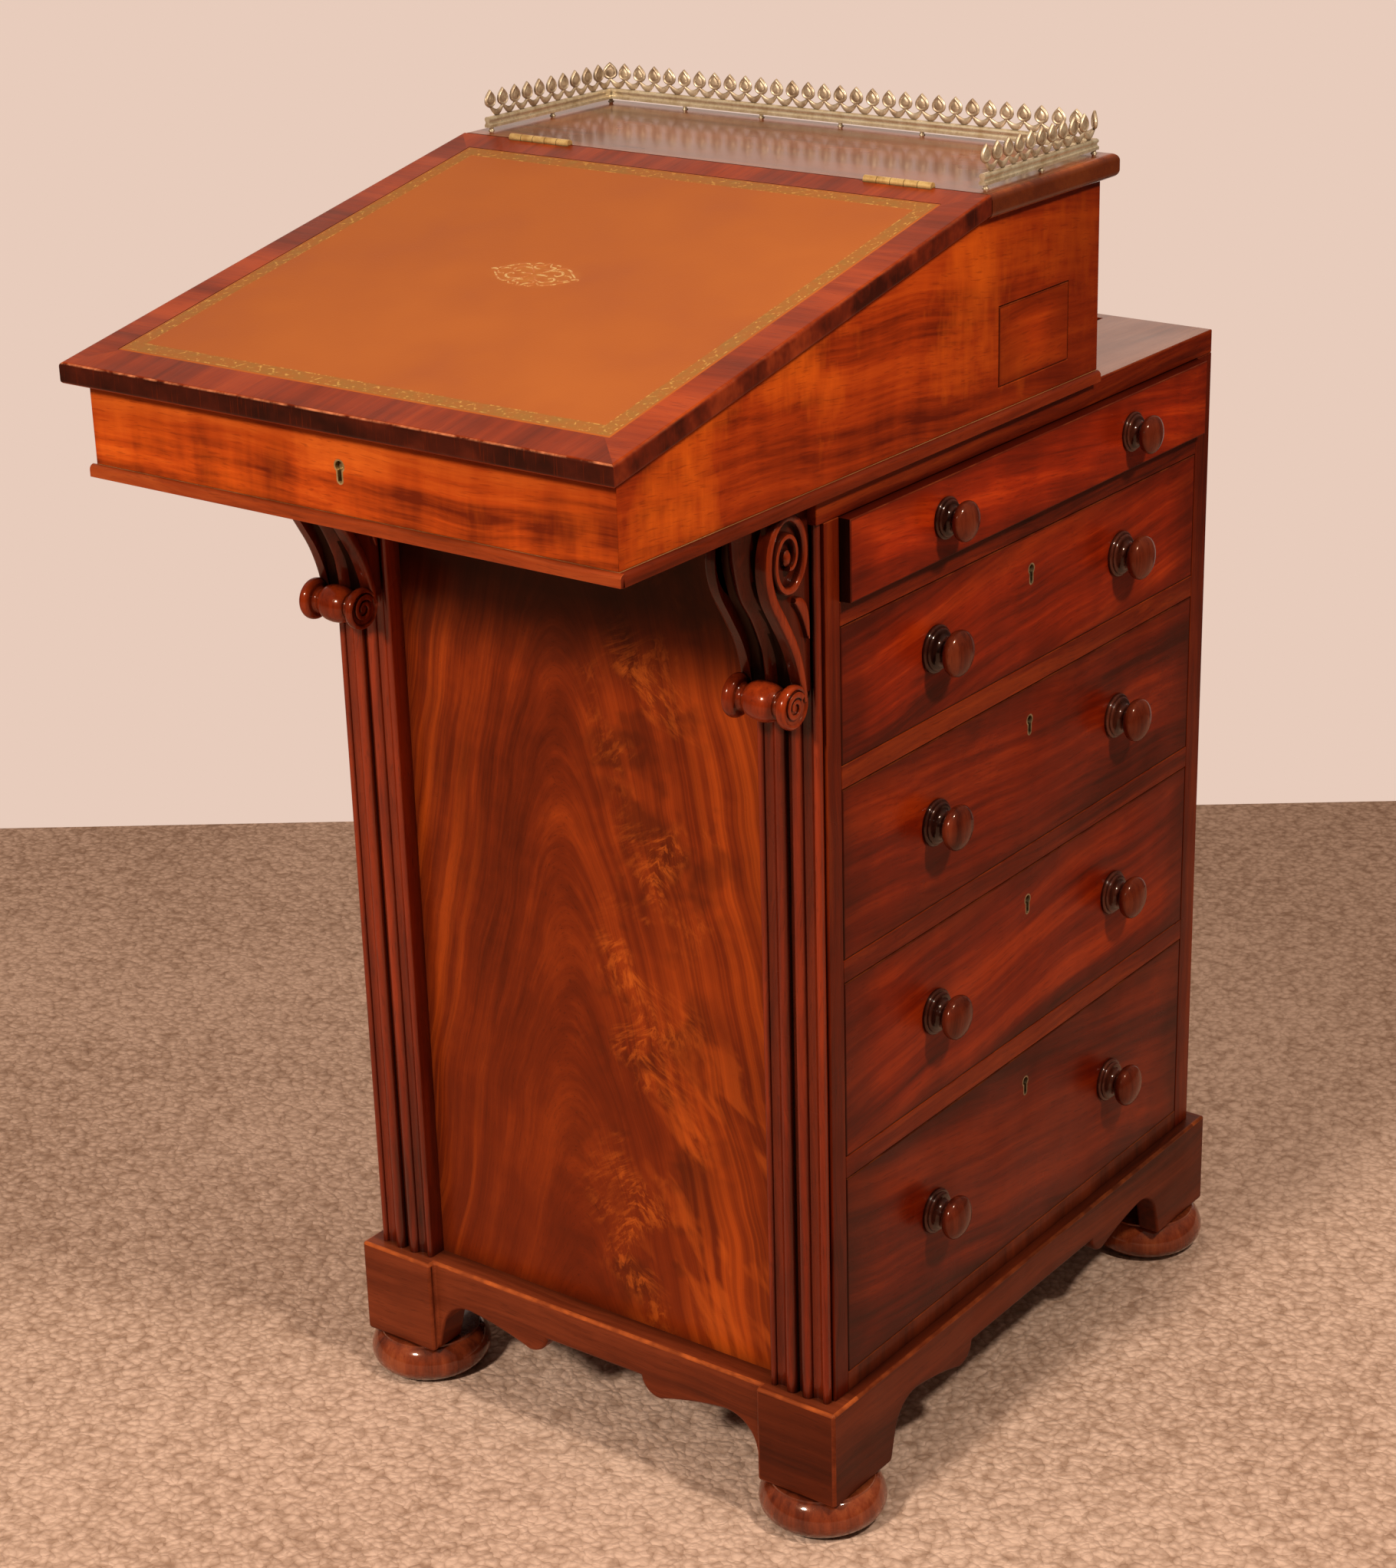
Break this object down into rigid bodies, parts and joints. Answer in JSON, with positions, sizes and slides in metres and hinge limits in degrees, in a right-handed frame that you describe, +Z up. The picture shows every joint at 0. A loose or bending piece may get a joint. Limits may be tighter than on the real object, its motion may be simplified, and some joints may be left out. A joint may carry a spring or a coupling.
{
  "type": "davenport desk",
  "caption": "Davenport desk: a drawer pedestal on bun feet carries a sliding writing box with a sloping leather-lined lid and a pierced brass gallery.",
  "frame": {"origin": "on the floor, midway between the sides and midway between the lid's front edge and the rear feet, with the box slid forward as pictured", "axes": "+Z up, the writer sits on the -Y side, the drawers open towards +X"},
  "size_m": [0.4626, 0.737, 0.9275],
  "materials": {
    "mahogany": "polished",
    "drawer_lining": "waxed",
    "leather": "tooled and worn",
    "brass": "aged"
  },
  "bodies": {
    "pedestal": {"back_panel": "mahogany", "bottom_board": "mahogany", "bun_feet": "mahogany", "corbel_left": "mahogany", "corbel_right": "mahogany", "drawer_dividers": "mahogany", "drawer_stiles": "mahogany", "dummy_drawer_fronts": "mahogany", "dummy_drawer_knobs": "mahogany", "front_panel": "mahogany", "left_side_panel": "mahogany", "pedestal_top": "mahogany", "pilaster_left": "mahogany", "pilaster_right": "mahogany", "plinth_back_board": "mahogany", "plinth_front_board": "mahogany", "plinth_left_board": "mahogany", "plinth_right_board": "mahogany"},
    "drawer_1": {"drawer_1_carcase": "drawer_lining", "drawer_1_front": "mahogany", "drawer_1_knobs": "mahogany"},
    "drawer_2": {"drawer_2_carcase": "drawer_lining", "drawer_2_front": "mahogany", "drawer_2_knobs": "mahogany", "drawer_2_lock": "brass"},
    "drawer_3": {"drawer_3_carcase": "drawer_lining", "drawer_3_front": "mahogany", "drawer_3_knobs": "mahogany", "drawer_3_lock": "brass"},
    "drawer_4": {"drawer_4_carcase": "drawer_lining", "drawer_4_front": "mahogany", "drawer_4_knobs": "mahogany", "drawer_4_lock": "brass"},
    "drawer_5": {"drawer_5_carcase": "drawer_lining", "drawer_5_front": "mahogany", "drawer_5_knobs": "mahogany", "drawer_5_lock": "brass"},
    "pen_drawer": {"pen_drawer_front": "mahogany", "pen_drawer_tray": "drawer_lining"},
    "inner_drawer": {"inner_drawer_front": "mahogany", "inner_drawer_knob": "brass", "inner_drawer_tray": "drawer_lining"},
    "lid": {"lid_frame": "mahogany", "writing_leather": "leather", "lid_strike_plate": "brass", "lid_hinge_leaves": "brass"},
    "desk_box": {"box_floor": "mahogany", "box_back": "mahogany", "box_left_side": "mahogany", "box_right_side": "mahogany", "box_front": "mahogany", "box_lock": "brass", "box_moulding": "mahogany", "slide_battens": "drawer_lining", "box_flat_top": "mahogany", "box_hinge_leaves": "brass", "hinge_pins": "brass", "gallery_rail": "brass", "gallery_crest": "brass", "compartment_partitions": "drawer_lining"}
  },
  "joints": [
    {"name": "box_slide", "type": "slide", "parent": "pedestal", "child": "desk_box", "axis": [0, 1, 0], "range_m": [0, 0.172]},
    {"name": "lid_hinge", "type": "hinge", "parent": "desk_box", "child": "lid", "pos_m": [0, 0.0201, 0.8995], "axis": [-1, 0, 0], "range_deg": [0, 105]},
    {"name": "drawer_1_slide", "type": "slide", "parent": "pedestal", "child": "drawer_1", "axis": [1, 0, 0], "range_m": [-0.008, 0.262]},
    {"name": "drawer_2_slide", "type": "slide", "parent": "pedestal", "child": "drawer_2", "axis": [1, 0, 0], "range_m": [0, 0.27]},
    {"name": "drawer_3_slide", "type": "slide", "parent": "pedestal", "child": "drawer_3", "axis": [1, 0, 0], "range_m": [0, 0.27]},
    {"name": "drawer_4_slide", "type": "slide", "parent": "pedestal", "child": "drawer_4", "axis": [1, 0, 0], "range_m": [0, 0.27]},
    {"name": "drawer_5_slide", "type": "slide", "parent": "pedestal", "child": "drawer_5", "axis": [1, 0, 0], "range_m": [0, 0.27]},
    {"name": "pen_drawer_slide", "type": "slide", "parent": "desk_box", "child": "pen_drawer", "axis": [1, 0, 0], "range_m": [0, 0.095]},
    {"name": "inner_drawer_slide", "type": "slide", "parent": "desk_box", "child": "inner_drawer", "axis": [0, -1, 0], "range_m": [0, 0.09]}
  ]
}
